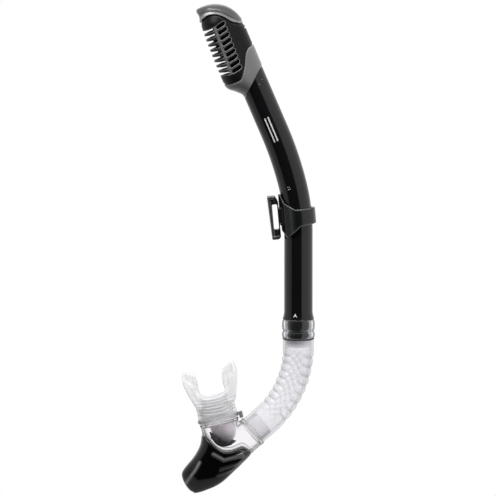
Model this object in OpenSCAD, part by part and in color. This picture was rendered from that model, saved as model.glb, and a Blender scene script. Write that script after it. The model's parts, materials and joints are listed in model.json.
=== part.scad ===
// Dry-top snorkel: a curved barrel with a float-valve head, a strap keeper, a swivelling hose and a
// purge housing that carries the mouthpiece.
// Frame: the origin is the centre of the strap slot in the keeper's clip, and +Z is up along the straight
// foot of the barrel. The hose and the mouthpiece lie towards -X, and the model is symmetric about Y = 0.
// The modules draw from the centre of the barrel's foot, and placed() moves them. Millimetres.

/* [Barrel] */
// Outside diameter of the barrel
barrel_d = 26.2; // [25.8:0.1:26.4]
// Inside diameter of the barrel
barrel_bore_d = 22; // [21.8:0.1:22.2]
// Straight length at the foot of the barrel
foot_h = 80; // [60:1:100]
// Centreline radius of the lower bend
lower_bend_r = 179; // [170:1:200]
// Angle of the lower bend
lower_bend_angle = 14; // [13:0.5:16]
// Centreline radius of the upper bend
upper_bend_r = 322; // [280:1:360]
// Angle of the upper bend
upper_bend_angle = 9.3; // [7:0.1:12]
// Straight length from the upper bend to the head
neck_h = 49.3; // [40:0.1:60]
// Outside diameter of the flared foot
flare_d = 29.4; // [28:0.1:29.8]

/* [Head] */
// Radius of the head's front bulge
bulge_r = 17.2; // [16.8:0.1:17.6]
// How far the bulge's centre lies in front of the barrel's axis
bulge_offset = 8.8; // [8.6:0.1:9.2]
// Radius of the head's back
head_back_r = 13.9; // [13.6:0.1:14.1]
// Wall of the head's shells
head_wall = 1.7; // [1.5:0.1:1.8]
// Number of louvre gaps down the guard
louvre_count = 9; // [5:1:9]
// Distance from one louvre gap to the next
louvre_pitch = 5.1; // [4.6:0.1:5.2]
// Height of one louvre gap
louvre_gap = 3.2; // [2.6:0.1:3.4]
// Height of the valve seat above the head's foot
seat_h = 50; // [49:0.5:50]
// Angle the valve lever opens to
lever_angle = 28; // [20:1:28]
// Rise of the float that closes the valve
float_rise = 3.2; // [2:0.1:3.2]

/* [Keeper] */
// Angle round the lower bend at which the keeper sits
keeper_angle = 5.13; // [4.5:0.01:6]
// Outside radius of the keeper's band
band_r = 16.4; // [16.2:0.1:16.6]
// Height of the strap slot
strap_slot_h = 23; // [20:0.5:24]
// Width of the strap slot
strap_slot_w = 4.6; // [4:0.1:4.7]

/* [Swivel and hose] */
// Outside diameter of the swivel collar
collar_d = 30.2; // [29.8:0.1:31]
// Height of the swivel collar
collar_h = 17.2; // [16:0.1:17.4]
// Outside diameter of the hose
hose_d = 28.4; // [28:0.1:29]
// Centreline radius of the hose's bend
hose_bend_r = 90; // [85:1:95]
// Angle of the hose's bend
hose_bend_angle = 49; // [48:0.5:50]
// Straight length at the hose's lower end
hose_tail_h = 13.3; // [12:0.1:14]

/* [Mouth unit] */
// Tilt of the mouthpiece from vertical
port_tilt = 13.2; // [12:0.1:14]
// Half the length of the oval mouthpiece port
port_half_l = 17.6; // [17.4:0.1:17.8]
// Half the width of the oval mouthpiece port
port_half_w = 14.75; // [14.6:0.05:14.8]
// Wall of the clear housing
housing_wall = 1.8; // [1.6:0.1:1.9]
// Half the width of the purge cover
cover_half_w = 15.6; // [15.4:0.1:16]
// Travel of the purge diaphragm
purge_travel = 2.4; // [1.5:0.1:2.5]
// Half the width of the mouthpiece's lip flange
flange_half_w = 16; // [15:0.5:17]

/* [Hidden] */
$fn = 64;

eps = 0.01;
barrel_r = barrel_d / 2;
bore_r = barrel_bore_d / 2;
// Clearance of a part that turns or slides, and of one that is only seated
running_gap = 0.05;
seat_gap = 0.1;
// Visible line between two covers that meet
panel_gap = 0.25;

// Slope of the cut where the barrel ends and the grey cowl begins
cut_angle = 38.9;
// Riser inside the head, and the O-ring cord round its spigot
riser_r = 10.9;
riser_bore_r = 9.3;
spigot_r = bore_r - running_gap;
cord_r = 0.45;
head_ring_h = -15;
// Valve lever's pin: how far in front of the riser's axis, how high, and its radius
pin_front = 9.6;
pin_h = seat_h + 5.2;
pin_r = 0.9;
pin_half_l = 10.6;
seal_r = 10.3;
seal_t = 1.5;
ear_in = 8;
ear_out = 10;
nose_l = 7;
nose_half_t = 0.75;
// Float: radii of its curved block about the riser's axis, and its height when it hangs
float_r_in = 12.2;
float_r_out = 18.8;
float_low = seat_h - 19;
float_top = pin_h - nose_half_t - 0.3 - float_rise;
float_shoulder = seat_h - 7.5;

// Side outlines of the head as [back, up] from its foot: the whole head, the cap's lower edge and
// the cowl's upper edge
head_outline = [
    [-14, -20], [-14, -8.5], [-15, -6.4], [-17.7, -2.2], [-24, 2.4], [-25.6, 7.9], [-26, 16.8], [-25.6, 40],
    [-24.7, 57], [-23.7, 67.9], [-22.8, 81], [-21.6, 82], [-13, 80.8], [-3.9, 78.5], [3.9, 74],
    [9.7, 67.6], [13, 61.3], [14.4, 48], [14.4, -20]
];
cap_edge = [
    [-40, 67.9], [-23.5, 67.9], [-19.2, 70.9], [-13.7, 72.5], [-8.2, 71.3], [-3.4, 68], [0.7, 63.5],
    [3.6, 59.2], [7.7, 55.9], [13.6, 53.1], [40, 53.1]
];
cowl_edge = [
    [-40, 7.9], [-25.3, 7.9], [-19.3, 6.4], [-10.2, 6.6], [-6.1, 10.1], [-1.2, 17], [2.8, 24.3],
    [6.7, 29.3], [13.3, 31.4], [40, 31.4]
];

// Keeper, in its own frame
liner_r = 14.3;
clip_face = -16.9;
slot_face = -18.1;
slot_centre = slot_face - strap_slot_w / 2;
clip_out = -26.7;
clip_half_t = 6;
rail_half_h = 6;
band_outline = [
    [18, 5.8], [-1.7, 5.7], [-11.6, 12.4], [-14.6, 20.4], [-18, 20.4], [-18, -14], [-15.9, -12.6],
    [-10.9, -20.4], [2.2, -10], [18, -8.6]
];

// Swivel and hose
swivel_r = spigot_r;
sleeve_r = 12;
sleeve_h = 25.5;
hose_in_r = 12.1;
hose_top = -19;
hose_bend_top = -26;

// Mouth unit
port_x = -72.9;
port_z = -94.1;
socket_r = 14.75;
socket_bore_r = 12.9;
purge_x = -70.6;
purge_z = -112.2;
purge_tilt = 18.2;
purge_r = 12.6;
wave = [
    [-120, -107.5], [-88.9, -107.5], [-83.7, -109.8], [-78, -116.1], [-72.3, -120.6],
    [-67.7, -122.3], [-60.9, -121.8], [-54.1, -118.9], [-50.6, -118.3], [-42.7, -123.5],
    [-30, -134]
];
cover_outline = [
    [-88.9, -100], [-45, -100], [-42.2, -123.8], [-49.5, -132], [-68.9, -150.8], [-83.7, -158.3],
    [-94, -161.7], [-99.1, -160], [-105.4, -151.4], [-107.4, -143.4], [-106.5, -140],
    [-96.3, -127.5], [-91.1, -118.3], [-89.4, -111.5]
];

// ---------------------------------------------------------------- shared shapes and frames

// Sweeps a section through an angle round a bend that curves towards -X
module bend(r, angle) {
    translate([-r, 0, 0]) rotate([90, 0, 0]) rotate_extrude(angle = angle, $fn = 96)
        translate([r, 0]) children();
}

// Carries children round a bend that curves towards -X as it rises
module round_bend(r, angle) {
    translate([-r, 0, 0]) rotate([0, -angle, 0]) translate([r, 0, 0]) children();
}

module above_lower_bend() {
    translate([0, 0, foot_h]) round_bend(lower_bend_r, lower_bend_angle) children();
}

module above_upper_bend() {
    above_lower_bend() round_bend(upper_bend_r, upper_bend_angle) children();
}

// Foot of the head: +Z up along the barrel, +X to the back
module head_frame() {
    above_upper_bend() translate([0, 0, neck_h]) children();
}

module keeper_frame() {
    translate([0, 0, foot_h]) round_bend(lower_bend_r, keeper_angle) children();
}

// Lower end of the hose's bend: -Z runs on along the hose
module hose_end_frame() {
    translate([-hose_bend_r, 0, hose_bend_top]) rotate([0, hose_bend_angle, 0])
        translate([hose_bend_r, 0, 0]) children();
}

// Foot of the mouthpiece: +Z towards the mouth
module port_frame() {
    translate([port_x, 0, port_z]) rotate([0, -port_tilt, 0]) children();
}

// Centre of the purge valve's seat: -Z out of the housing
module purge_frame() {
    translate([purge_x, 0, purge_z]) rotate([0, purge_tilt, 0]) children();
}

// A slab with a side outline, standing to both sides of Y = 0
module side_slab(half_w) {
    rotate([90, 0, 0]) linear_extrude(height = 2 * half_w, center = true) children();
}

module tube(r_out, r_in, low, high) {
    translate([0, 0, low]) difference() {
        cylinder(r = r_out, h = high - low);
        translate([0, 0, -1]) cylinder(r = r_in, h = high - low + 2);
    }
}

// A ring of round cord about Z
module o_ring(r, cord) {
    rotate_extrude() translate([r, 0]) circle(r = cord, $fn = 32);
}

// Oval with half circles at its ends, as long as half_l each way along X
module oval(half_l, half_w) {
    square([2 * (half_l - half_w), 2 * half_w], center = true);
    for (side = [-1, 1]) translate([side * (half_l - half_w), 0]) circle(r = half_w);
}

module oval_tube(half_l, half_w, wall, low, high) {
    translate([0, 0, low]) linear_extrude(height = high - low) difference() {
        oval(half_l, half_w);
        oval(half_l - wall, half_w - wall);
    }
}

// ---------------------------------------------------------------- barrel

// Short plug across a joint between two lengths of a course, so that they are one solid
module splice(r) {
    cylinder(r = r, h = 0.1, center = true);
}

// The barrel's course with a round section, from below its foot to above its cut
module barrel_course(r, extra, splice_r) {
    translate([0, 0, -extra]) cylinder(r = r, h = foot_h + extra);
    translate([0, 0, foot_h]) bend(lower_bend_r, lower_bend_angle) circle(r = r);
    above_lower_bend() bend(upper_bend_r, upper_bend_angle) circle(r = r);
    above_upper_bend() cylinder(r = r, h = neck_h + 14 + extra);
    translate([0, 0, foot_h]) splice(splice_r);
    above_lower_bend() splice(splice_r);
    above_upper_bend() splice(splice_r);
}

module barrel_tube() {
    color("#17181a") difference() {
        union() {
            barrel_course(barrel_r, 0, barrel_r - eps);
            cylinder(r1 = flare_d / 2, r2 = barrel_r, h = 8);
        }
        barrel_course(bore_r, 1, bore_r + eps);
        // Groove that holds the swivel spigot's bead
        translate([0, 0, 3]) cylinder(r = bore_r + 0.7, h = 2);
        head_frame() rotate([0, -cut_angle, 0]) translate([-40, -40, 0]) cube([80, 80, 80]);
    }
}

// ---------------------------------------------------------------- head

// Egg-shaped section of the head: bulge in front, back round the riser
module egg(inset) {
    front_r = bulge_r - inset;
    back_r = head_back_r - inset;
    touch = acos((bulge_r - head_back_r) / bulge_offset);
    translate([-bulge_offset, 0]) circle(r = front_r);
    circle(r = back_r);
    polygon([
        [-bulge_offset + front_r * cos(touch), front_r * sin(touch)],
        [back_r * cos(touch), back_r * sin(touch)],
        [back_r * cos(touch), -back_r * sin(touch)],
        [-bulge_offset + front_r * cos(touch), -front_r * sin(touch)]
    ]);
}

// The head as a solid, shrunk by inset on every side; its foot blends into the barrel
module head_form(inset) {
    intersection() {
        union() {
            translate([0, 0, 5.5]) linear_extrude(height = 90) egg(inset);
            hull() {
                translate([0, 0, -24]) cylinder(r = barrel_r - inset, h = 14, $fn = 48);
                translate([0, 0, 5.5]) linear_extrude(height = 0.5) egg(inset + 0.06, $fn = 48);
            }
        }
        side_slab(30) offset(delta = -inset) polygon(head_outline);
    }
}

module head_shell() {
    difference() {
        head_form(0);
        head_form(head_wall);
    }
}

// Everything above an edge line, or below it, moved off the line by gap
module above_edge(edge, gap) {
    top = [[edge[len(edge) - 1][0], 200], [edge[0][0], 200]];
    translate([0, 0, gap]) side_slab(40) polygon(concat(edge, top));
}

module below_edge(edge, gap) {
    bottom = [[edge[len(edge) - 1][0], -200], [edge[0][0], -200]];
    translate([0, 0, -gap]) side_slab(40) polygon(concat(edge, bottom));
}

module top_cap() {
    color("#85878a") head_frame() intersection() {
        head_shell();
        above_edge(cap_edge, panel_gap / 2);
    }
}

module lower_cowl() {
    color("#7b7d80") head_frame() difference() {
        intersection() {
            head_shell();
            below_edge(cowl_edge, panel_gap / 2);
        }
        rotate([0, -cut_angle, 0]) translate([-60, -40, panel_gap - 100]) cube([120, 80, 100]);
    }
}

// Gaps of the guard: each one runs round the front, and goes on behind the side rib as a slot
module louvres() {
    rib_back = -12.2;
    rib_front = -14.4;
    slot_end = -5;
    for (i = [0 : louvre_count - 1]) translate([0, 0, 18.6 + i * louvre_pitch]) rotate([0, -6, 0]) {
        translate([-40, -30, -louvre_gap / 2]) cube([40 + rib_front, 60, louvre_gap]);
        translate([rib_back, -30, -louvre_gap / 2]) cube([slot_end - rib_back, 60, louvre_gap]);
        translate([slot_end, 0, 0]) rotate([90, 0, 0]) cylinder(r = louvre_gap / 2, h = 60, center = true);
    }
}

module louvre_guard() {
    color("#202123") head_frame() difference() {
        intersection() {
            head_shell();
            below_edge(cap_edge, panel_gap / 2);
            above_edge(cowl_edge, panel_gap / 2);
        }
        louvres();
    }
}

// Spigot in the barrel, riser to the valve seat, floor of the float chamber and ears for the pin
module head_base() {
    floor_h = 13;
    color("#2a2b2e") head_frame() difference() {
        union() {
            translate([0, 0, -24]) cylinder(r = spigot_r, h = 40);
            cylinder(r = riser_r, h = seat_h - 1.5);
            intersection() {
                translate([0, 0, floor_h]) linear_extrude(height = 1.6) egg(head_wall + seat_gap);
                side_slab(30) offset(delta = -head_wall - seat_gap) polygon(head_outline);
            }
            for (side = [-1, 1]) {
                low_y = side > 0 ? ear_in : -ear_out;
                translate([-pin_front - 2.6, low_y, seat_h - 4]) cube([8.2, 2, 2.5]);
                translate([-pin_front - 2.6, low_y, seat_h - 4]) cube([4.6, 2, pin_h - seat_h + 4]);
                translate([-pin_front, low_y, pin_h]) rotate([-90, 0, 0]) cylinder(r = 2, h = 2);
            }
            // Ledge that the float hangs on
            translate([-13.5, -5, float_low - 3]) cube([5, 10, 2.8]);
        }
        translate([0, 0, -25]) cylinder(r = riser_bore_r, h = 120);
        translate([0, 0, head_ring_h]) difference() {
            cylinder(r = spigot_r + 1, h = 1.3, center = true);
            cylinder(r = bore_r - 2 * cord_r - 0.04, h = 3, center = true);
        }
        translate([-pin_front, 0, pin_h]) rotate([90, 0, 0])
            cylinder(r = pin_r + 0.02, h = 40, center = true);
        // Drain gaps in the floor
        for (y = [-9, 0, 9]) translate([-20, y, floor_h + 1]) cube([5, 5, 6], center = true);
    }
}

module head_o_ring() {
    color("#3a3a3d") head_frame() translate([0, 0, head_ring_h]) o_ring(bore_r - cord_r - 0.02, cord_r);
}

module valve_seat() {
    color("#b9bcc0") head_frame() tube(riser_r, riser_bore_r, seat_h - 1.5 + eps, seat_h);
}

module pivot_pin() {
    color("#c9ccd0") head_frame() translate([-pin_front, 0, pin_h]) rotate([90, 0, 0])
        cylinder(r = pin_r, h = 2 * pin_half_l, center = true);
}

// Places children, drawn about the pin with the valve shut, at the lever's open rest
module lever_frame() {
    head_frame() translate([-pin_front, 0, pin_h]) rotate([0, -lever_angle, 0]) children();
}

// Lever: hub on the pin, carrier over the seat, nose that the float lifts
module valve_lever() {
    carrier_low = seat_h + 0.1 + seal_t - pin_h;
    color("#d8d9db") lever_frame() difference() {
        union() {
            rotate([90, 0, 0]) cylinder(r = 2.3, h = 15.2, center = true);
            translate([pin_front, 0, carrier_low + eps]) cylinder(r = seal_r - 0.1, h = 1.4);
            translate([0, -7.4, carrier_low + 0.1]) cube([5, 14.8, 2.6]);
            translate([-nose_l, -5.5, -nose_half_t]) cube([nose_l, 11, 2 * nose_half_t]);
        }
        rotate([90, 0, 0]) cylinder(r = pin_r + running_gap, h = 40, center = true);
    }
}

module seal_disc() {
    color("#e9e6ea") lever_frame() translate([pin_front, 0, seat_h + 0.1 - pin_h])
        cylinder(r = seal_r, h = seal_t);
}

// Float: a curved block round the front of the riser, with a narrower top under the lever's nose
module float() {
    color("#3c3e42") head_frame() difference() {
        union() {
            intersection() {
                translate([0, 0, float_low]) cylinder(r = float_r_out, h = float_shoulder - float_low);
                translate([-30, -12, 0]) cube([30, 24, 100]);
            }
            intersection() {
                translate([0, 0, float_low]) cylinder(r = float_r_out, h = float_top - float_low);
                translate([-30, -7.2, 0]) cube([30 - float_r_in, 14.4, 100]);
            }
        }
        translate([0, 0, -1]) cylinder(r = float_r_in, h = 100);
        translate([-14.5, -5.6, float_low - 1]) cube([10, 11.2, 1.1]);
    }
}

// ---------------------------------------------------------------- keeper

// Soft liner between the barrel and the keeper's band
module keeper_liner() {
    color("#0f1011") difference() {
        keeper_frame() translate([0, 0, -8.3]) cylinder(r = liner_r, h = 13.9);
        translate([0, 0, foot_h]) translate([-lower_bend_r, 0, 0]) rotate([0, 4, 0])
            translate([lower_bend_r, 0, 0]) bend(lower_bend_r, 22) circle(r = barrel_r + 0.08);
    }
}

// T-shaped rail, or the groove for it when gap is added
module keeper_rail(gap, low, high) {
    translate([clip_face - eps, -2 - gap, low]) cube([1.2, 4 + 2 * gap, high - low]);
    translate([clip_face + 1 - gap, -3.4 - gap, low]) cube([0.8 + 2 * gap, 6.8 + 2 * gap, high - low]);
}

module keeper_band() {
    bore = liner_r + running_gap;
    color("#141516") keeper_frame() difference() {
        union() {
            intersection() {
                translate([0, 0, -25]) cylinder(r = band_r, h = 50);
                side_slab(30) polygon(band_outline);
            }
            translate([clip_face + seat_gap, -7, -rail_half_h - 2]) cube([6, 14, 2 * rail_half_h + 4]);
        }
        translate([0, 0, -30]) cylinder(r = bore, h = 60);
        keeper_rail(seat_gap, -30, rail_half_h + seat_gap);
    }
}

// Frame that the mask strap is threaded through, with the rail that slides into the band
module strap_clip() {
    color("#1b1c1e") keeper_frame() {
        difference() {
            side_slab(clip_half_t) polygon([
                [clip_face, -19], [clip_face, 14], [-19.5, 19.3], [clip_out, 19.3],
                [clip_out + 1.6, -20.9], [-19, -20.9]
            ]);
            translate([slot_face - strap_slot_w, -30, -strap_slot_h / 2])
                cube([strap_slot_w, 60, strap_slot_h]);
        }
        keeper_rail(0, -rail_half_h, rail_half_h);
    }
}

// ---------------------------------------------------------------- swivel and hose

// Tube that turns in the barrel's foot and holds the top of the hose
module swivel_spigot() {
    color("#55585d") difference() {
        union() {
            translate([0, 0, -0.4]) cylinder(r = swivel_r, h = 22);
            translate([0, 0, -sleeve_h]) cylinder(r = sleeve_r, h = sleeve_h - 0.3);
            translate([0, 0, 3.3]) cylinder(r = bore_r + 0.45, h = 1.4);
        }
        translate([0, 0, -40]) cylinder(r = riser_bore_r, h = 80);
        translate([0, 0, 13]) difference() {
            cylinder(r = swivel_r + 1, h = 1.3, center = true);
            cylinder(r = bore_r - 2 * cord_r - 0.04, h = 3, center = true);
        }
    }
}

module swivel_o_ring() {
    color("#2e2e31") translate([0, 0, 13]) o_ring(bore_r - cord_r - 0.02, cord_r);
}

module swivel_collar() {
    groove_h = -10.8;
    color("#6a6d73") difference() {
        tube(collar_d / 2, sleeve_r + running_gap, -0.3 - collar_h, -0.3);
        translate([0, 0, groove_h]) difference() {
            cylinder(r = collar_d / 2 + 1, h = 1.2, center = true);
            cylinder(r = collar_d / 2 - 0.8, h = 3, center = true);
        }
    }
}

module collar_ring() {
    color("#1d1e20") tube(collar_d / 2 - 0.3, sleeve_r + running_gap, hose_top + 0.1, -0.4 - collar_h);
}

// The hose's course: straight cuffs at its ends, which overlap the ends of its bend
module hose_course(cuff_r, bend_r, tail) {
    lap = 1;
    cuff_top_h = hose_top - hose_bend_top;
    translate([0, 0, hose_bend_top - lap]) cylinder(r = cuff_r, h = cuff_top_h + lap + tail);
    translate([-hose_bend_r, 0, hose_bend_top]) rotate([-90, 0, 0])
        rotate_extrude(angle = hose_bend_angle, $fn = 96) translate([hose_bend_r, 0]) circle(r = bend_r);
    hose_end_frame() translate([0, 0, -hose_tail_h - tail])
        cylinder(r = cuff_r, h = hose_tail_h + tail + lap);
}

module hose() {
    color("#e4e0ea", 0.6) difference() {
        hose_course(hose_d / 2, hose_d / 2 - 0.15, 0);
        hose_course(hose_in_r, hose_in_r - 0.15, 1);
    }
}

// ---------------------------------------------------------------- mouth unit

// Clear junction: oval chamber under the mouthpiece, socket and spigot for the hose
module housing() {
    socket_top = -hose_tail_h - 0.2;
    inner_l = port_half_l - housing_wall;
    inner_w = port_half_w - housing_wall;
    color("#eef1f4", 0.5) difference() {
        intersection() {
            union() {
                port_frame() translate([0, 0, -45]) linear_extrude(height = 44.5)
                    oval(port_half_l, port_half_w);
                port_frame() translate([0, 0, -1.8]) linear_extrude(height = 1.6)
                    oval(port_half_l + 0.7, port_half_w + 0.7);
                port_frame() linear_extrude(height = 14) oval(15.5, 12.6);
                port_frame() translate([0, 0, -1]) linear_extrude(height = 2) oval(15.5, 12.6);
                hose_end_frame() translate([0, 0, socket_top - 24]) cylinder(r = socket_r, h = 24);
                hose_end_frame() translate([0, 0, socket_top - 1]) cylinder(r = sleeve_r, h = 13);
            }
            above_edge(wave, 0);
        }
        port_frame() translate([0, 0, -60]) linear_extrude(height = 57) oval(inner_l, inner_w);
        port_frame() translate([0, 0, -4]) linear_extrude(height = 30) oval(13.9, 11);
        hose_end_frame() translate([0, 0, socket_top - 26]) cylinder(r = socket_bore_r, h = 24);
        hose_end_frame() translate([0, 0, -40]) cylinder(r = 10.4, h = 60);
    }
}

// Grey cup inside the housing whose floor is the purge valve's seat
module purge_chamber() {
    color("#a9a5a8") purge_frame() difference() {
        cylinder(r = purge_r, h = 9.5);
        translate([0, 0, 1.6]) cylinder(r = purge_r - 1.4, h = 20);
        cylinder(r = 1.3, h = 10, center = true);
        for (a = [0 : 60 : 300]) rotate(a) translate([5.7, 0, 0]) cylinder(r = 2.3, h = 10, center = true);
        // Side window towards the hose, for the breath
        translate([4, -7, 3]) cube([20, 14, 10]);
    }
}

module purge_gasket() {
    color("#17171a") purge_frame() tube(purge_r, 10.9, -2.2, -eps);
}

// Thin disc under the seat, on a stem whose head stops it
module purge_diaphragm() {
    color("#26262a") purge_frame() {
        translate([0, 0, -1]) cylinder(r = 10.2, h = 0.95);
        translate([0, 0, -0.5]) cylinder(r = 1.2, h = 5.2);
        translate([0, 0, 1.65 + purge_travel]) cylinder(r = 2.1, h = 1.4);
    }
}

// The cover's body, rounded at its edges and shrunk by inset
module cover_form(inset) {
    round_r = 4;
    minkowski() {
        side_slab(cover_half_w - round_r - inset) offset(delta = -round_r - inset) polygon(cover_outline);
        sphere(r = round_r, $fn = 24);
    }
}

module purge_cover() {
    color("#0c0c0e") difference() {
        intersection() {
            cover_form(0);
            below_edge(wave, panel_gap);
        }
        cover_form(1.7);
        // Drain louvres on both sides of the cover's back
        for (i = [0 : 2]) translate([-57 - 8 * i, 0, -131 - 7 * i]) rotate([0, -20, 0])
            cube([15, 60, 1.8], center = true);
        // Drain slots towards the front
        for (i = [0 : 2]) translate([-92 - 4 * i, 0, -137 - 5.5 * i]) rotate([0, -58, 0])
            cube([9, 60, 1.8], center = true);
    }
}

// One half of the mouthpiece's lip flange, as [across, up] from the foot of the mouthpiece
flange_half = [
    [0, 13.5], [18.6, 13.5], [19.6, 22], [22, 30], [24.4, 38], [25.5, 44], [24.2, 49.4], [21.5, 50.9],
    [18.6, 49], [16.8, 44], [15.6, 37], [13.6, 30], [9.5, 26.2], [0, 24.4]
];
bite_tab = [[11.5, 31], [17, 29.5], [19, 46], [13.5, 45.5]];

module mouthpiece() {
    color("#f3f3f6", 0.6) port_frame() difference() {
        union() {
            linear_extrude(height = 16) oval(port_half_l + 0.5, port_half_w + 0.2);
            translate([1.2, 0, 0]) for (side = [0, 1]) mirror([side, 0, 0]) {
                side_slab(flange_half_w) polygon(flange_half);
                side_slab(9) polygon(bite_tab);
            }
        }
        translate([0, 0, -1]) linear_extrude(height = 15.6) oval(15.7, 12.8);
        linear_extrude(height = 40) oval(12.5, 9.5);
    }
}

module mouthpiece_tie() {
    color("#dcdce0") port_frame() oval_tube(port_half_l + 1.6, port_half_w + 1.3, 1, 1.4, 4.4);
}

module tie_lock() {
    color("#3b3a3c") port_frame() translate([port_half_l + 1.7, -2.5, -1.8]) cube([3.6, 5, 6.4]);
}

// Moves children from the barrel's foot to the part's frame
module placed() {
    foot_x = lower_bend_r * (1 - cos(keeper_angle)) - slot_centre * cos(keeper_angle);
    foot_z = -foot_h - lower_bend_r * sin(keeper_angle) - slot_centre * sin(keeper_angle);
    translate([foot_x, 0, foot_z]) children();
}

placed() barrel_tube();
placed() head_base();
placed() head_o_ring();
placed() valve_seat();
placed() pivot_pin();
placed() louvre_guard();
placed() top_cap();
placed() lower_cowl();
placed() float();
placed() valve_lever();
placed() seal_disc();
placed() keeper_liner();
placed() keeper_band();
placed() strap_clip();
placed() swivel_spigot();
placed() swivel_o_ring();
placed() swivel_collar();
placed() collar_ring();
placed() hose();
placed() housing();
placed() purge_chamber();
placed() purge_gasket();
placed() purge_diaphragm();
placed() purge_cover();
placed() mouthpiece();
placed() mouthpiece_tie();
placed() tie_lock();
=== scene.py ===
"""Looks of a dry-top snorkel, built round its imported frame.

Pieces are drawn in millimetres, each in a local frame named below, and are carried into the part's
frame, in metres, when their mesh is made. Round pieces are skins over rings; moulded pieces are the
zero surface of a field, a function that is negative inside the piece.
"""
import itertools
import json
import math

import bmesh
import bpy
import numpy as np
from mathutils import Matrix, Vector


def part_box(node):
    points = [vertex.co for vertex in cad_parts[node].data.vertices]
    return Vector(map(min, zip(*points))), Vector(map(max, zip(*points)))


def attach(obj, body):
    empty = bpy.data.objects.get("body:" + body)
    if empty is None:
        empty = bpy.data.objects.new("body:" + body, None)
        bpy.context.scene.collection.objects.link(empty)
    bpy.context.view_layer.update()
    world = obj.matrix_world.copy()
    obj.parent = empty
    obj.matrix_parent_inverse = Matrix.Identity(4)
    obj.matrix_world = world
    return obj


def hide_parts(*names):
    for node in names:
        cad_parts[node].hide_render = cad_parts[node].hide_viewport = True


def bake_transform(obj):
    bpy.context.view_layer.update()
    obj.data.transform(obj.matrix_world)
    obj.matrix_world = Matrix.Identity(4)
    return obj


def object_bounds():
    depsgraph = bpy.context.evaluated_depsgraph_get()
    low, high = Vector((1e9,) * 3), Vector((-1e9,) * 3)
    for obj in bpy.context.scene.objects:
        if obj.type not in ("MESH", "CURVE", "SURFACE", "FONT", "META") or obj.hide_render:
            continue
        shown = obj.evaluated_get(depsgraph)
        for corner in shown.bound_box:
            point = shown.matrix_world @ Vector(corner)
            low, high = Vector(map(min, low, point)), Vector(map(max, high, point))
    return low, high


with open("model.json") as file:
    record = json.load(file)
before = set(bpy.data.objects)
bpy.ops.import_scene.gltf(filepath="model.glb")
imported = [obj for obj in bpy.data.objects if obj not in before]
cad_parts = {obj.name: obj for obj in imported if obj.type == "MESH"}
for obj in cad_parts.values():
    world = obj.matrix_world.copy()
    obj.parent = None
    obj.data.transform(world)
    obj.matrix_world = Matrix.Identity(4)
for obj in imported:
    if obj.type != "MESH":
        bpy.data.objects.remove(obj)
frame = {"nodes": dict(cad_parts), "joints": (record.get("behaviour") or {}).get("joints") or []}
cad_low, cad_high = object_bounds()

MM = 0.001
JOINTS = {joint["name"]: joint for joint in frame["joints"]}


# ---------------- local frames

def shift(x, z):
    return Matrix.Translation((x, 0, z))


def lean(angle):
    """Leans +Z towards -X by an angle in degrees."""
    return Matrix.Rotation(math.radians(-angle), 4, "Y")


def joint_point(name):
    return Vector(JOINTS[name]["pos_m"]) / MM


def joint_lean(name):
    axis = JOINTS[name]["axis"]
    return math.degrees(math.atan2(-axis[0], axis[2]))


def box_centre(node):
    low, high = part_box(node)
    return (low + high) / 2 / MM


FOOT = Matrix.Translation(joint_point("hose_swivel"))

# The barrel's course: a straight foot, two bends towards -X, and a straight neck
FOOT_H = joint_point("keeper_travel").z - joint_point("hose_swivel").z
LOWER_R = joint_point("hose_swivel").x - joint_point("keeper_travel").x
LOWER_BEND = 14
UPPER_R = 322
HEAD_LEAN = joint_lean("float_lift")
UPPER_BEND = HEAD_LEAN - LOWER_BEND
NECK_H = 49.3

# Head: the valve pin lies this far in front of the barrel's axis and this high above the head's foot
PIN_FRONT, PIN_H = 9.6, 55.2
HEAD = Matrix.Translation(joint_point("valve_swing")) @ lean(HEAD_LEAN) @ shift(PIN_FRONT, -PIN_H)

KEEPER = Matrix.Translation(joint_point("keeper_turn")) @ lean(joint_lean("keeper_turn"))

# Hose: straight from its top, then round a bend, then a straight tail
HOSE_BEND_R = 90
HOSE_BEND = 49
HOSE_TOP = -19
HOSE_BEND_TOP = -26
HOSE_TAIL = 13.3
HOSE_END = FOOT @ shift(-HOSE_BEND_R, HOSE_BEND_TOP) @ lean(-HOSE_BEND) @ shift(HOSE_BEND_R, 0)

# Mouth unit: the port leans with the mouthpiece, the purge valve with its diaphragm's travel
PORT_LEAN = 13.2
TIE_MIDDLE = 2.9
PORT = Matrix.Translation(box_centre("mouthpiece_tie")) @ lean(PORT_LEAN) @ shift(0, -TIE_MIDDLE)
PURGE_LEAN = math.degrees(math.asin(-JOINTS["purge_open"]["axis"][0])) * -1
GASKET_MIDDLE = -1.1
PURGE = Matrix.Translation(box_centre("purge_gasket")) @ lean(PURGE_LEAN) @ shift(0, -GASKET_MIDDLE)


# ---------------- meshes

SAME_POINT = 1e-7


def put(name, data):
    item = bpy.data.objects.new(name, data)
    bpy.context.scene.collection.objects.link(item)
    return item


def make_piece(name, points, faces, place, body, material, stands_for=(), sharp=35, normals=None):
    """A closed mesh of points in millimetres, shaded smooth but for edges sharper than an angle,
    or shaded by given normals."""
    mesh = bpy.data.meshes.new(name)
    mesh.from_pydata([tuple(p) for p in points], [], [tuple(f) for f in faces])
    mesh.transform(Matrix.Scale(MM, 4) @ place)
    work = bmesh.new()
    work.from_mesh(mesh)
    if normals is None:
        bmesh.ops.remove_doubles(work, verts=work.verts, dist=SAME_POINT)
        bmesh.ops.recalc_face_normals(work, faces=work.faces)
    work.to_mesh(mesh)
    work.free()
    mesh.shade_smooth()
    if normals is None:
        mesh.set_sharp_from_angle(angle=math.radians(sharp))
    else:
        mesh.normals_split_custom_set_from_vertices(normals @ np.array(place)[:3, :3].T)
    mesh.materials.append(material)
    piece = put(name, mesh)
    if body:
        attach(piece, body)
    if stands_for:
        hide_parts(*stands_for)
    return piece


def carry(points, place):
    m = np.array(place)
    return np.asarray(points) @ m[:3, :3].T + m[:3, 3]


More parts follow.
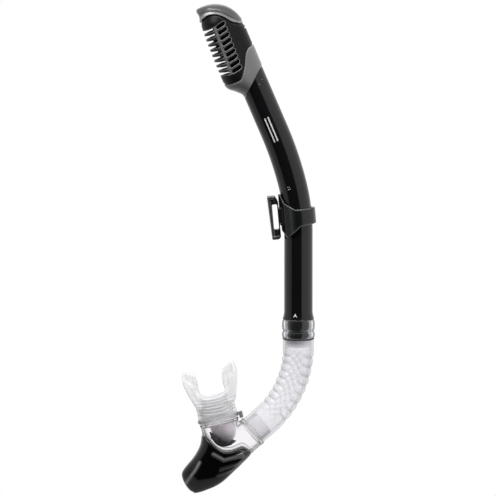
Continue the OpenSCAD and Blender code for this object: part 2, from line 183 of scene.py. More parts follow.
def store_tones(piece, values):
    layer = piece.data.attributes.new("tone", "FLOAT", "POINT")
    layer.data.foreach_set("value", np.clip(values, 0, 1).astype(np.float32))


def paint(piece, place, tone):
    """Stores a 0..1 tone at each point, worked out from the point's place in a local frame."""
    mesh = piece.data
    points = np.zeros(len(mesh.vertices) * 3)
    mesh.vertices.foreach_get("co", points)
    store_tones(piece, tone(carry(points.reshape(-1, 3) / MM, place.inverted())))


def skin(rings, wrap=False, caps=False):
    """Points and faces of a skin over closed rings; wrap joins the last ring to the first."""
    rings = np.asarray(rings, float)
    count, around = rings.shape[:2]
    faces = []
    for i in range(count if wrap else count - 1):
        a, b = i * around, (i + 1) % count * around
        for k in range(around):
            n = (k + 1) % around
            faces.append((a + k, a + n, b + n, b + k))
    if caps:
        faces.append(tuple(range(around)))
        faces.append(tuple(range((count - 1) * around, count * around)))
    return rings.reshape(-1, 3), faces


def turns(around):
    return np.linspace(0, 2 * math.pi, around, endpoint=False)


def circle_ring(radius, height, around=96):
    """Points round Z; the radius and the height may differ from point to point."""
    t = turns(around)
    return np.stack([radius * np.cos(t), radius * np.sin(t), height + 0.0 * t], -1)


def revolve(profile):
    """A ring-shaped solid: a closed profile of (radius, height) pairs turned about Z."""
    return skin([circle_ring(r, h) for r, h in profile], wrap=True)


def rounded(corners, radius, steps=4):
    """The closed outline with each of its corners turned into a curve, short of half of each side."""
    share = 0.45
    corners = [np.array(c, float) for c in corners]
    points = []
    for before, corner, after in zip(corners[-1:] + corners[:-1], corners, corners[1:] + corners[:1]):
        a, b = before - corner, after - corner
        reach = min(radius, share * np.linalg.norm(a), share * np.linalg.norm(b))
        start = corner + a / np.linalg.norm(a) * reach
        end = corner + b / np.linalg.norm(b) * reach
        for t in np.linspace(0, 1, steps + 1):
            points.append((1 - t) ** 2 * start + 2 * t * (1 - t) * corner + t * t * end)
    return points


def curve_through(points, steps=12):
    """A smooth line through points, as a dense list of its own points."""
    p = [np.array(q, float) for q in points]
    p = [2 * p[0] - p[1]] + p + [2 * p[-1] - p[-2]]
    line = []
    for a, b, c, d in zip(p, p[1:], p[2:], p[3:]):
        for t in np.linspace(0, 1, steps, endpoint=False):
            line.append(0.5 * (2 * b + (c - a) * t + (2 * a - 5 * b + 4 * c - d) * t ** 2
                               + (3 * b - a - 3 * c + d) * t ** 3))
    line.append(p[-2])
    return np.array(line)


# ---------------- fields

def smooth_step(low, high, value):
    t = np.clip((value - low) / (high - low), 0, 1)
    return t * t * (3 - 2 * t)


def meet(a, b, soft=0.3):
    """Where both fields hold, with the edge between them rounded."""
    h = np.clip(0.5 + 0.5 * (a - b) / soft, 0, 1)
    return b + (a - b) * h + soft * h * (1 - h)


def join(a, b, soft=0.3):
    return -meet(-a, -b, soft)


def cut(a, b, soft=0.3):
    return meet(a, -b, soft)


def stadium(x, y, half_l, half_w):
    return np.hypot(np.maximum(np.abs(x) - (half_l - half_w), 0), y) - half_w


def between(value, low, high):
    return np.maximum(low - value, value - high)


FAR = 1e9


def off_stretch(x, z, x1, z1, dx, dz):
    """Distance to a straight stretch from (x1, z1) that goes dx and dz."""
    t = np.clip(((x - x1) * dx + (z - z1) * dz) / (dx * dx + dz * dz), 0, 1)
    return np.hypot(x - x1 - t * dx, z - z1 - t * dz)


def outline_field(points, x, z):
    """Distance to a closed outline, negative inside it."""
    best = np.full(x.shape, FAR)
    inside = np.zeros(x.shape, bool)
    points = [tuple(p) for p in points]
    for (x1, z1), (x2, z2) in zip(points, points[1:] + points[:1]):
        dx, dz = x2 - x1, z2 - z1
        best = np.minimum(best, off_stretch(x, z, x1, z1, dx, dz))
        crosses = (z1 > z) != (z2 > z)
        inside ^= crosses & (x < x1 + (z - z1) * dx / (dz or 1))
    return np.where(inside, -best, best)


def within(place, base=Matrix()):
    """A function that takes points from one frame to another one's x, y and z."""
    change = np.array(place.inverted() @ base)

    def local(p):
        return (p @ change[:3, :3].T + change[:3, 3]).T
    return local


def gradient(field, p, reach):
    sides = []
    for axis in range(3):
        offset = np.zeros(3)
        offset[axis] = reach
        sides.append((field(p + offset) - field(p - offset)) / (2 * reach))
    return np.stack(sides, -1)


def settle(field, p, step):
    """Moves points onto the field's zero surface."""
    slope = gradient(field, p, 0.1 * step)
    move = field(p)[:, None] * slope / np.maximum((slope ** 2).sum(1), 0.05)[:, None]
    return p - np.clip(move, -0.4 * step, 0.4 * step)


def surface(field, low, high, step):
    """Closed quad mesh of the surface where field is zero, inside a box, by surface nets."""
    low = np.array(low, float)
    counts = [int(math.ceil((h - l) / step)) + 1 for l, h in zip(low, high)]
    lattice = np.stack(np.meshgrid(*[np.arange(n) for n in counts], indexing="ij"), -1)
    value = field((lattice.reshape(-1, 3) * step + low)).reshape(counts)
    inside = value < 0
    corners = list(itertools.product((0, 1), repeat=3))
    part = [inside[tuple(slice(c, n - 1 + c) for c, n in zip(corner, counts))] for corner in corners]
    filled = sum(p.astype(int) for p in part)
    mixed = (filled > 0) & (filled < 8)
    index = np.full(mixed.shape, -1)
    index[mixed] = np.arange(mixed.sum())
    cells = np.argwhere(mixed)
    total, found = np.zeros((len(cells), 3)), np.zeros(len(cells))
    for a, b in itertools.combinations(corners, 2):
        if sum(abs(i - j) for i, j in zip(a, b)) != 1:
            continue
        va = value[tuple((cells + a).T)]
        vb = value[tuple((cells + b).T)]
        crossed = (va < 0) != (vb < 0)
        t = (va / np.where(crossed, va - vb, 1))[:, None]
        total += np.where(crossed[:, None], np.array(a) + (np.array(b) - np.array(a)) * t, 0)
        found += crossed
    points = (cells + total / found[:, None]) * step + low
    faces = []
    for axis in range(3):
        ahead = np.roll(inside, -1, axis)
        change = inside != ahead
        for d in range(3):
            edge = [slice(None)] * 3
            edge[d] = -1
            change[tuple(edge)] = False
            if d != axis:
                edge[d] = 0
                change[tuple(edge)] = False
        p = np.argwhere(change)
        u, v = np.eye(3, dtype=int)[(axis + 1) % 3], np.eye(3, dtype=int)[(axis + 2) % 3]
        quads = np.stack([index[tuple((p - o).T)] for o in (0 * u, u, u + v, v)], -1)
        flip = inside[tuple(p.T)]
        faces.append(np.where(flip[:, None], quads, quads[:, ::-1]))
    faces = np.concatenate(faces)
    pairs = np.concatenate([faces[:, [0, 1]], faces[:, [1, 2]], faces[:, [2, 3]], faces[:, [3, 0]]])
    for _ in range(2):  # evens the quads out, then returns them to the surface
        mean, links = np.zeros_like(points), np.zeros(len(points))
        for a, b in ((0, 1), (1, 0)):
            np.add.at(mean, pairs[:, a], points[pairs[:, b]])
            np.add.at(links, pairs[:, a], 1)
        points = 0.5 * points + 0.5 * mean / links[:, None]
        points = settle(field, points, step)
    for _ in range(2):
        points = settle(field, points, step)
    return points, faces


def moulding(name, field, low, high, step, place, body, material, stands_for=(), tone=None):
    """A piece that is the zero surface of a field, shaded by the field's own slope."""
    points, faces = surface(field, low, high, step)
    slope = gradient(field, points, 0.3 * step)
    slope /= np.maximum(np.linalg.norm(slope, axis=1), 1e-6)[:, None]
    piece = make_piece(name, points, faces, place, body, material, stands_for, normals=slope)
    if tone:
        paint(piece, place, tone)


# ---------------- materials

def new_material(name, slot):
    material = bpy.data.materials.new(name)
    material.use_nodes = True
    material["slot"] = slot
    tree = material.node_tree
    tree.nodes.clear()
    output = tree.nodes.new("ShaderNodeOutputMaterial")
    shader = tree.nodes.new("ShaderNodeBsdfPrincipled")
    tree.links.new(shader.outputs[0], output.inputs[0])
    return material, tree, shader, output


def feed(tree, socket, value):
    """Gives an input a number, a colour or another node's output."""
    if isinstance(value, (int, float)):
        socket.default_value = value
    elif isinstance(value, tuple):
        socket.default_value = (*value, 1)
    else:
        tree.links.new(value, socket)


def noise(tree, scale, detail=3.0):
    """Noise over the object's own coordinates, in cycles a metre."""
    place = tree.nodes.new("ShaderNodeTexCoord")
    texture = tree.nodes.new("ShaderNodeTexNoise")
    texture.inputs["Scale"].default_value = scale
    texture.inputs["Detail"].default_value = detail
    tree.links.new(place.outputs["Object"], texture.inputs["Vector"])
    return texture.outputs["Fac"]


NOISE_LOW, NOISE_HIGH = 0.3, 0.7


def spread(tree, value, low, high):
    """Maps a noise's usual span to low..high."""
    node = tree.nodes.new("ShaderNodeMapRange")
    node.inputs["From Min"].default_value = NOISE_LOW
    node.inputs["From Max"].default_value = NOISE_HIGH
    node.inputs["To Min"].default_value = low
    node.inputs["To Max"].default_value = high
    tree.links.new(value, node.inputs["Value"])
    return node.outputs["Result"]


def mix_colours(tree, amount, a, b, blend="MIX"):
    node = tree.nodes.new("ShaderNodeMix")
    node.data_type = "RGBA"
    node.blend_type = blend
    for socket, value in ((0, amount), (6, a), (7, b)):
        feed(tree, node.inputs[socket], value)
    return node.outputs[2]


def grain_bump(tree, scale, depth):
    bump = tree.nodes.new("ShaderNodeBump")
    bump.inputs["Strength"].default_value = 1.0
    bump.inputs["Distance"].default_value = depth * MM
    tree.links.new(noise(tree, scale, 2.0), bump.inputs["Height"])
    return bump.outputs["Normal"]


def tone_of(tree):
    node = tree.nodes.new("ShaderNodeAttribute")
    node.attribute_name = "tone"
    return node.outputs["Fac"]


# Noise scales, in cycles a metre
MOTTLE, GLOSS, GRAIN, CLOUD, BRUSH = 60, 180, 2600, 90, 400
UNEVEN_GLOSS = 0.15


def plastic(name, slot, colour, rough, grain=0.0, vary=0.15, shine=0.5, toned=None):
    """Moulded plastic or rubber: slight mottling, uneven gloss and, where stated, a fine grain.
    A toned piece goes to a second colour where its tone is 1."""
    material, tree, shader, _ = new_material(name, slot)
    mottle = spread(tree, noise(tree, MOTTLE), 0, 1)
    dark = tuple(c * (1 - vary) for c in colour)
    light = tuple(min(1, c * (1 + vary)) for c in colour)
    shade = mix_colours(tree, mottle, dark, light)
    if toned:
        shade = mix_colours(tree, tone_of(tree), shade, toned)
    tree.links.new(shade, shader.inputs["Base Color"])
    gloss = spread(tree, noise(tree, GLOSS), rough * (1 - UNEVEN_GLOSS), rough * (1 + UNEVEN_GLOSS))
    tree.links.new(gloss, shader.inputs["Roughness"])
    shader.inputs["Specular IOR Level"].default_value = shine
    if grain:
        tree.links.new(grain_bump(tree, GRAIN, grain), shader.inputs["Normal"])
    return material


def ramp(tree, value, stops):
    """Greys between stops of (place, grey)."""
    node = tree.nodes.new("ShaderNodeValToRGB")
    band = node.color_ramp
    while len(band.elements) < len(stops):
        band.elements.new(0.5)
    for element, (place, grey) in zip(band.elements, stops):
        element.position = place
        element.color = (grey, grey, grey, 1)
    tree.links.new(value, node.inputs[0])
    return node.outputs["Color"]


def maths(tree, operation, a, b):
    node = tree.nodes.new("ShaderNodeMath")
    node.operation = operation
    node.use_clamp = operation == "ADD"
    feed(tree, node.inputs[0], a)
    feed(tree, node.inputs[1], b)
    return node.outputs[0]


CLEAR_SHINE = 0.7
# Share of a clear part's density that its shadow leaves out
SHADOW_LOSS = 0.85


def clear_material(name, slot, tint, density, greys, rough, milk=0.0, line=0.0):
    """Clear moulding. Density and greys are stops over the angle it is seen at, from face on to edge on; the
    greys are painted light, the shade and highlights that refraction gives at each angle.
    A toned line is denser and darker, a painted line of shade and refraction. It casts a light shadow, as
    clear plastic does."""
    material, tree, shader, output = new_material(name, slot)
    facing = tree.nodes.new("ShaderNodeLayerWeight")
    facing.inputs["Blend"].default_value = 0.5
    angle = facing.outputs["Facing"]
    cloud = spread(tree, noise(tree, CLOUD), -milk, milk)
    amount = maths(tree, "ADD", ramp(tree, angle, density), cloud)
    colour = mix_colours(tree, 1, tint, ramp(tree, angle, greys), "MULTIPLY")
    if line:
        tone = tone_of(tree)
        amount = maths(tree, "ADD", amount, maths(tree, "MULTIPLY", tone, line))
        colour = mix_colours(tree, 1, colour, ramp(tree, tone, ((0, 1), (1, 1 - line))), "MULTIPLY")
    tree.links.new(colour, shader.inputs["Base Color"])
    shader.inputs["Roughness"].default_value = rough
    shader.inputs["Specular IOR Level"].default_value = CLEAR_SHINE
    through = tree.nodes.new("ShaderNodeBsdfTransparent")
    through.inputs["Color"].default_value = (*[c ** 0.5 for c in tint], 1)
    mix = tree.nodes.new("ShaderNodeMixShader")
    shadow = tree.nodes.new("ShaderNodeLightPath").outputs["Is Shadow Ray"]
    lit = maths(tree, "SUBTRACT", 1, maths(tree, "MULTIPLY", shadow, SHADOW_LOSS))
    tree.links.new(maths(tree, "MULTIPLY", amount, lit), mix.inputs[0])
    tree.links.new(through.outputs[0], mix.inputs[1])
    tree.links.new(shader.outputs[0], mix.inputs[2])
    tree.links.new(mix.outputs[0], output.inputs[0])
    return material


def steel_material():
    material, tree, shader, _ = new_material("steel", "steel")
    shader.inputs["Base Color"].default_value = (0.6, 0.61, 0.63, 1)
    shader.inputs["Metallic"].default_value = 1
    tree.links.new(spread(tree, noise(tree, BRUSH), 0.18, 0.32), shader.inputs["Roughness"])
    return material


BARREL_BLACK = plastic("barrel_gloss", "barrel_black", (0.006, 0.0063, 0.007), 0.07, vary=0.1)
# Toned colours: the guard, keeper and cover go to them for painted highlights, the cap for its paler flank
# and painted highlights.
GUARD_BLACK = plastic("guard_satin", "guard_black", (0.007, 0.0074, 0.008), 0.36, grain=0.015, shine=0.2,
                      toned=(0.27, 0.27, 0.275))
CAP_GREY = plastic("cap_satin", "cap_grey", (0.06, 0.061, 0.064), 0.3, vary=0.06,
                   toned=(0.6, 0.602, 0.61))
INNER_BLACK = plastic("inner_matt", "inner_black", (0.006, 0.006, 0.007), 0.5, grain=0.03)
FLOAT_GREY = plastic("float_foam", "float_grey", (0.012, 0.012, 0.014), 0.75, grain=0.08)
LEVER_GREY = plastic("lever_satin", "lever_white", (0.03, 0.03, 0.033), 0.45)
SEAL_GREY = plastic("seal_soft", "silicone_white", (0.05, 0.05, 0.055), 0.55)
RUBBER_BLACK = plastic("rubber_black", "silicone_black", (0.006, 0.006, 0.008), 0.5)
KEEPER_BLACK = plastic("keeper_satin", "keeper_black", (0.008, 0.0085, 0.0095), 0.2, grain=0.01,
                       toned=(0.2, 0.202, 0.208))
RING_BLACK = plastic("collar_lip", "guard_black", (0.008, 0.008, 0.009), 0.22)
COVER_BLACK = plastic("cover_gloss", "cover_black", (0.0035, 0.0035, 0.004), 0.06, vary=0.1,
                      toned=(0.34, 0.345, 0.35))
CHAMBER_GREY = plastic("chamber_satin", "chamber_grey", (0.93, 0.885, 0.915), 0.4, grain=0.02, vary=0.03)
LOCK_GREY = plastic("lock_satin", "inner_black", (0.3, 0.28, 0.29), 0.35)
PRINT_WHITE = plastic("print_white", "barrel_black", (0.8, 0.81, 0.82), 0.45, vary=0.03)
STEEL = steel_material()
# Its greys paint a bright highlight band near each side of the collar.
SMOKE = clear_material("collar_smoke", "collar_smoke", (0.95, 0.97, 1.0),
                       ((0, 0.95), (0.27, 0.93), (0.36, 0.25), (0.52, 0.25), (0.62, 0.85), (1, 0.95)),
                       ((0, 0.015), (0.22, 0.05), (0.36, 0.95), (0.5, 0.95), (0.6, 0.25), (1, 0.03)), 0.06)
HOSE_CLEAR = clear_material("hose_silicone", "silicone_clear", (0.965, 0.96, 0.98),
                            ((0, 0.12), (0.3, 0.2), (0.6, 0.4), (1, 0.75)),
                            ((0, 1), (0.25, 0.95), (0.5, 0.78), (0.75, 0.62), (1, 0.48)), 0.14, 0.05, 0.22)
MOUTH_CLEAR = clear_material("mouth_silicone", "silicone_clear", (0.96, 0.96, 0.97),
                             ((0, 0.36), (0.5, 0.42), (1, 0.62)),
                             ((0, 0.96), (0.4, 0.92), (0.7, 0.84), (1, 0.74)), 0.36, 0.05, 0.18)
HOUSING_CLEAR = clear_material("housing_clear", "housing_clear", (0.97, 0.96, 0.975),
                               ((0, 0.01), (0.3, 0.04), (0.55, 0.3), (0.8, 0.8), (1, 0.7)),
                               ((0, 1), (0.3, 0.8), (0.5, 0.45), (0.7, 0.06), (0.85, 0.12), (1, 0.5)),
                               0.04, 0.0, 0.65)
TIE_CLEAR = clear_material("tie_clear", "silicone_clear", (0.94, 0.93, 0.95),
                           ((0, 0.25), (0.4, 0.45), (1, 0.95)),
                           ((0, 0.9), (0.35, 0.5), (0.6, 0.1), (1, 0.05)), 0.2)
SPIGOT_GREY = plastic("spigot_satin", "collar_smoke", (0.94, 0.93, 0.95), 0.3, vary=0.03)


# ---------------- barrel

BARREL_R = 13.1
BORE_R = 11
FLARE_R = 14.7
FLARE_H = 8
CUT_SLOPE = math.tan(math.radians(38.9))
# Length of barrel kept for the sloped cut, and the bevel at the foot
SLOPE_ROOM = 14
FOOT_CHAMFER = 0.5


def course(along):
    """Middle (x, z) and lean, in degrees, of the barrel's axis at a distance from its foot."""
    x, z, angle = 0.0, 0.0, 0.0
    for length, radius in (
        (FOOT_H, None),
        (LOWER_R * math.radians(LOWER_BEND), LOWER_R),
        (UPPER_R * math.radians(UPPER_BEND), UPPER_R),
        (1e3, None),
    ):
        step = min(along, length)
        if radius is None:
            x -= step * math.sin(angle)
            z += step * math.cos(angle)
        else:
            turned = step / radius
            x -= radius * (math.cos(angle) - math.cos(angle + turned))
            z += radius * (math.sin(angle + turned) - math.sin(angle))
            angle += turned
        along -= step
        if along <= 0:
            break
    return x, z, math.degrees(angle)


def course_frame(along):
    x, z, angle = course(along)
    return shift(x, z) @ lean(angle)


HEAD_ALONG = (FOOT_H + LOWER_R * math.radians(LOWER_BEND) + UPPER_R * math.radians(UPPER_BEND) + NECK_H)


def barrel_radius(along):
    if along < FLARE_H:
        rise = along / FLARE_H
        return FLARE_R + (BARREL_R - FLARE_R) * rise * (2 - rise)
    return BARREL_R


def barrel():
    """Bent tube with a flared foot; its top is cut on a slope that rises to the back."""
    last = HEAD_ALONG - SLOPE_ROOM
    outer = []
    stations = [[0], np.linspace(FOOT_CHAMFER, FLARE_H, 10), np.linspace(FLARE_H + 1, last, 150)]
    for along in np.concatenate(stations):
        radius = barrel_radius(along) - (FOOT_CHAMFER if along == 0 else 0)
        outer.append(carry(circle_ring(radius, 0), course_frame(along)))
    sloped = []
    for share in np.linspace(0.2, 1, 5):
        ring = circle_ring(BARREL_R, 0)
        top = HEAD_ALONG + ring[:, 0] * CUT_SLOPE
        ring[:, 2] = share * (top - last)
        sloped.append(carry(ring, course_frame(last)))
    inner_top = circle_ring(BORE_R, 0)
    inner_top[:, 2] = HEAD_ALONG + inner_top[:, 0] * CUT_SLOPE - last
    inner = [carry(inner_top, course_frame(last))]
    for along in np.linspace(last, 0, 80):
        inner.append(carry(circle_ring(BORE_R, 0), course_frame(along)))
    points, faces = skin(outer + sloped + inner, wrap=True)
    make_piece("barrel_tube_shell", points, faces, FOOT, "barrel", BARREL_BLACK, ["barrel_tube"], 50)


# ---------------- head

BULGE_R, BULGE_X, BACK_R = 17.2, -8.8, 13.9
EGG_FRONT, EGG_BACK = BULGE_X - BULGE_R, BACK_R
SHELL = 1.7
# Half of each seam between the head's shells, how far each shell lies inside the head, and the foot's gap
SEAM = 0.15
CAP_INSET, GUARD_INSET = 0.5, 0.55
FOOT_GAP = 0.12
CUT_GAP = 0.35

# Front of the head, back of it, and its half width, each against height above its foot
HEAD_FRONT = curve_through([
    (-24, -13.3), (-10, -13.5), (-6.4, -15), (-2.2, -18.2), (2.4, -23.4), (7.9, -25.6), (16.8, -26),
    (40, -25.6), (57, -24.7), (68, -23.7), (90, -21.6),
])
HEAD_BACK = curve_through([(-24, 13.2), (8, 13.7), (48, 14.4), (90, 14.4)])
HEAD_WIDTH = curve_through([
    (-24, 13.25), (-9, 13.3), (-2, 14.6), (4, 16.4), (10, 17.1), (18, 17.2), (90, 17.2),
])
CAP_EDGE = curve_through([
    (-40, 62), (-26, 66.6), (-23.5, 67.9), (-19.2, 70.9), (-13.7, 72.5), (-8.2, 71.3), (-3.4, 68),
    (0.7, 63.5), (3.6, 59.2), (7.7, 55.9), (13.6, 53.1), (40, 50),
])
COWL_EDGE = curve_through([
    (-40, 8), (-25.3, 7.9), (-19.3, 6.4), (-10.2, 6.6), (-6.1, 10.1), (-1.2, 17), (2.8, 24.3),
    (6.7, 29.3), (13.3, 31.4), (40, 32),
])
# Dome that closes the head: middle, half spans and power of a rounded square
DOME_X, DOME_Z, DOME_HALF_X, DOME_HALF_Z, DOME_POWER = -20, 46, 34.6, 35.7, 2.33


def read_line(line, value):
    return np.interp(value, line[:, 0], line[:, 1])


def egg_field(x, y):
    """Egg-shaped plan of the head: a large front circle and a smaller back one, in one hull."""
    lean_in = (BULGE_R - BACK_R) / -BULGE_X
    straight = math.sqrt(1 - lean_in ** 2)
    u, v = x - BULGE_X, np.abs(y)
    k = straight * u - lean_in * v
    sides = straight * v + lean_in * u - BULGE_R
    back = np.hypot(u + BULGE_X, v) - BACK_R
    return np.where(k < 0, np.hypot(u, v) - BULGE_R, np.where(k > -straight * BULGE_X, back, sides))


def head_field(x, y, z):
    front, back = read_line(HEAD_FRONT, z), read_line(HEAD_BACK, z)
    width = read_line(HEAD_WIDTH, z)
    egg_x = EGG_FRONT + (x - front) * (EGG_BACK - EGG_FRONT) / (back - front)
    egg = egg_field(egg_x, y * BULGE_R / width)
    round_foot = np.hypot(x, y) - BARREL_R - FOOT_GAP
    share = smooth_step(-10, -3, z)
    plan = round_foot * (1 - share) + egg * share
    u = np.maximum((x - DOME_X) / DOME_HALF_X, 0)
    v = np.maximum((z - DOME_Z) / DOME_HALF_Z, 0)
    dome = ((u ** DOME_POWER + v ** DOME_POWER) ** (1 / DOME_POWER) - 1) * DOME_HALF_Z
    return meet(plan, dome, 2.5 + 0.4 * np.abs(y))


# Crease round the cap, between its scooped flank and its darker top
CREASE = curve_through([
    (-40, 80), (-20, 78.5), (-11.9, 76.9), (-1.4, 72.2), (4.9, 65.2), (11.8, 57.8), (30, 46),
])


def cap_field(p):
    x, y, z = p.T
    edge = z - read_line(CAP_EDGE, x)
    crease = z - read_line(CREASE, x)
    flare = 0.5 * (1 - smooth_step(0, 4, edge)) * smooth_step(12, 2, x)
    scoop = 0.75 * np.sin(np.pi * np.clip(edge / np.maximum(edge - crease, 1), 0, 1)) ** 2
    ridge = 0.25 * np.exp(-(crease / 1.8) ** 2)
    outer = head_field(x, y, z) + CAP_INSET - flare + scoop - ridge
    return meet(cut(outer, outer + SHELL, 0.3), SEAM - edge, 0.5)


def cowl_field(p):
    x, y, z = p.T
    outer = head_field(x, y, z)
    shell = cut(outer, outer + SHELL, 0.3)
    below_guard = z - read_line(COWL_EDGE, x) + SEAM
    above_cut = (x * CUT_SLOPE - z + CUT_GAP) / math.hypot(1, CUT_SLOPE)
    return meet(meet(shell, below_guard, 0.5), above_cut, 0.4)


def cap_flank_and_painted_highlights(p):
    """A paler flank under the crease, a painted highlight along the lip, and a painted highlight spot over
    the front of the guard.
    """
    x, y, z = p.T
    edge, crease = z - read_line(CAP_EDGE, x), z - read_line(CREASE, x)
    lip = np.exp(-((edge - 0.5) / 0.6) ** 2)
    glow = np.exp(-(((x + 13) / 5) ** 2 + ((edge - 1.8) / 1.8) ** 2))
    return np.clip(0.18 * smooth_step(1.2, -1.2, crease) + 0.13 * lip + 0.75 * glow, 0, 1)


# Louvres: how many on each side, the lowest one, their spacing, and half a slot and half a rib
LOUVRES = 9
LOUVRE_LOW = 16.1
LOUVRE_PITCH = 5.31
SLOT_HALF = 1.8
RIB_HALF_W = 1.1


def rib_line(z):
    return -15 + 0.058 * (z - LOUVRE_LOW)


def louvre_field(x, z, depth):
    """Slots behind each side rib, and gaps that run round the front and widen outwards."""
    rib = rib_line(z)
    forward = np.clip((rib - x) / 11, 0, 1.2)
    low = LOUVRE_LOW + np.where(x > rib, 0.19 * (x - rib), 2.3 * forward)
    pitch = LOUVRE_PITCH - 0.25 * forward
    off = z - low - np.clip(np.round((z - low) / pitch), 0, LOUVRES - 1) * pitch
    slot_front, slot_back = rib + RIB_HALF_W, 0.045 * (z - LOUVRE_LOW) - 4
    beyond = np.abs(x - (slot_front + slot_back) / 2) - (slot_back - slot_front) / 2 + SLOT_HALF
    slots = np.hypot(np.maximum(beyond, 0), off) - SLOT_HALF
    half = 0.85 + 0.65 * np.clip(1 - depth / 3.5, 0, 1)
    gaps = np.hypot(np.maximum(x - rib + RIB_HALF_W + half, 0), off) - half
    return np.minimum(slots, gaps)


CAGE_FRONT, CAGE_SIDE, CAGE_TOP = -19.2, 10.8, 65
# Notch in the guard's back: its height, half its opening, and how far in it reaches
NOTCH_Z, NOTCH_HALF, NOTCH_X = 48.4, 0.75, 12.3


def float_cage(x, y, z, outer):
    """Thin walls behind the side slots, held by a web above and one below."""
    wall = between(-outer, 4.1, 5.1)
    webs = np.maximum(np.minimum(np.abs(z - 63.2), np.abs(z - 12.6)) - 0.7, between(-outer, 1.5, 5.1))
    cage = meet(join(wall, webs, 0.3), np.maximum(CAGE_FRONT - x, CAGE_SIDE - np.abs(y)), 0.3)
    return meet(meet(cage, np.minimum(26 - z, -15.8 - x), 0.4), z - CAGE_TOP, 0.4)


def guard_field(p):
    x, y, z = p.T
    below_cap = z - read_line(CAP_EDGE, x) + SEAM
    above_cowl = read_line(COWL_EDGE, x) - z + SEAM
    roll = 1.1 * smooth_step(-4.5, 0, below_cap) ** 2 + 0.5 * smooth_step(-1.5, 0, above_cowl)
    body = head_field(x, y, z)
    outer = body + GUARD_INSET + roll
    depth = 1.8 + 2.6 * smooth_step(-14, -20, x)
    shell = cut(outer, outer + depth, 0.3)
    shell = cut(shell, louvre_field(x, z, -outer), 0.4)
    notch = np.maximum(np.abs(z - NOTCH_Z) - NOTCH_HALF, NOTCH_X - x)
    solid = cut(join(shell, float_cage(x, y, z, body), 0.3), notch, 0.3)
    return meet(meet(solid, below_cap, 0.4), above_cowl, 0.4)


def guard_painted_highlights(p):
    """Painted highlights: lighter lips round the side slots and along the ribs, fainter on the fins, and a
    highlight spot on the dome.
    """
    x, y, z = p.T
    gap = louvre_field(x, z, np.zeros(x.shape))
    outside = smooth_step(-2.2, -1, head_field(x, y, z))
    lip = np.exp(-(np.maximum(gap, 0) / 0.55) ** 2) * outside
    off_rib = x - rib_line(z)
    along = smooth_step(13.5, 15.5, z) * smooth_step(62, 60, z)
    ridge = 0.8 * np.exp(-(off_rib / 1.1) ** 2) * along * outside
    glow = 0.3 * np.exp(-(((x + 10.3) / 3.4) ** 2 + ((z - 67) / 2.6) ** 2)) * outside
    return np.maximum(np.maximum(lip * (0.35 + 0.65 * smooth_step(-3.5, -1.5, off_rib)), ridge), glow)


def cowl_grey_and_painted_edge_highlight(p):
    """Paler than the cap's top, with a painted highlight along its edge."""
    x, y, z = p.T
    return 0.18 + 0.13 * np.exp(-((z - read_line(COWL_EDGE, x) + 0.9) / 0.8) ** 2)


def head():
    moulding("top_cap_shell", cap_field, (-28, -18.5, 46), (16, 18.5, 84), 0.6,
             HEAD, "barrel", CAP_GREY, ["top_cap"], cap_flank_and_painted_highlights)
    moulding("lower_cowl_shell", cowl_field, (-28, -18.5, -16), (16, 18.5, 35), 0.6,
             HEAD, "barrel", CAP_GREY, ["lower_cowl"], cowl_grey_and_painted_edge_highlight)
    moulding("louvre_guard_shell", guard_field, (-28, -18.5, 3), (16, 18.5, 76), 0.5,
             HEAD, "barrel", GUARD_BLACK, ["louvre_guard"], guard_painted_highlights)


# ---------------- keeper

BAND_OUTLINE = rounded([
    (18, 5.8), (-1.7, 5.7), (-11.6, 12.4), (-14.6, 20.4), (-18, 20.4), (-18, -14), (-15.9, -12.6),
    (-10.9, -20.4), (2.2, -10), (18, -8.6),
], 1.2, 3)
CLIP_OUTLINE = rounded([
    (-16.9, -19), (-16.9, 14), (-19.5, 19.3), (-26.7, 19.3), (-25.1, -20.9), (-19, -20.9),
], 1.2, 3)
BAND_R, BAND_BORE = 16.4, 14.35
# Flats on the band's front: direction, in degrees round from the clip, and distance from the axis
BAND_FLATS = ((27, 15.75), (59, 15.85))
CLIP_HALF_T = 6
SLOT_FACE, SLOT_W, SLOT_HALF_H = -18.1, 4.6, 11.5


def band_field(p):
    x, y, z = p.T
    wall = np.hypot(x, y) - BAND_R
    for angle, reach in BAND_FLATS:
        a = math.radians(angle)
        wall = meet(wall, -x * math.cos(a) + np.abs(y) * math.sin(a) - reach, 0.25)
    wall = meet(wall, outline_field(BAND_OUTLINE, x, z), 0.9)
    block = meet(meet(between(x, -16.75, -11), between(y, -7, 7), 0.8), between(z, -8, 8), 0.8)
    solid = join(wall, block, 0.8)
    solid = cut(solid, np.hypot(x, y) - BAND_BORE, 0.3)
    rail = np.maximum(between(x, -17, -14.9), between(y, -3.6, 3.6))
    return cut(solid, np.maximum(rail, z - 6.2), 0.2)


def clip_field(p):
    x, y, z = p.T
    plate = outline_field(CLIP_OUTLINE, x, z)
    body = meet(plate, np.abs(y) - CLIP_HALF_T, 1.6)
    slot_x = x - (SLOT_FACE - SLOT_W / 2)
    slot = meet(np.abs(slot_x) - SLOT_W / 2, np.abs(z) - SLOT_HALF_H, 1.2)
    body = cut(body, slot, 0.9)
    # Shallow panel round the slot on both sides leaves a raised rim along the outer bar
    panel = meet(between(x, -24.6, -17.6), between(z, -17.5, 16), 1.0)
    panel = np.maximum(panel, CLIP_HALF_T - 0.8 - np.abs(y))
    return cut(body, panel, 0.5)


def band_painted_highlights(p):
    """Painted highlights: a lighter edge round the band's outline, and a faint one across its facet."""
    x, y, z = p.T
    edge = np.exp(-((outline_field(BAND_OUTLINE, x, z) + 0.5) / 0.45) ** 2)
    facet = 0.1 * np.exp(-((x + 5.5) / 2.2) ** 2)
    return (0.6 * edge + facet) * smooth_step(BAND_BORE, BAND_BORE + 0.8, np.hypot(x, y)) * (x < 12)


